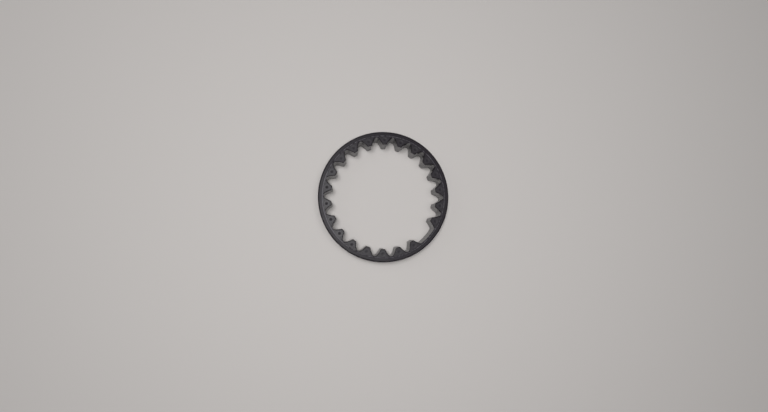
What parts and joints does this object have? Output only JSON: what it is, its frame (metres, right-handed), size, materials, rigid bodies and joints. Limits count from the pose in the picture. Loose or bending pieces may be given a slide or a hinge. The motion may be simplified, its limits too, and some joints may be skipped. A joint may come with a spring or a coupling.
{
  "type": "ring gear",
  "caption": "Thin internal ring gear moulded in one piece, with short involute teeth all round its bore, a tooth left out as an index, and a plain outer wall.",
  "frame": {"origin": "centre of the bottom face, on the gear's axis", "axes": "+Z along the gear's axis, out of the face that the picture shows; +X through the middle of the place where a tooth is left out"},
  "size_m": [0.0516, 0.0516, 0.011],
  "materials": {
    "moulded_plastic": "charcoal black filled plastic as moulded, satin, with a fine grain and paler rubbed edges"
  },
  "bodies": {
    "root": {"ring_gear": "moulded_plastic"}
  },
  "joints": []
}
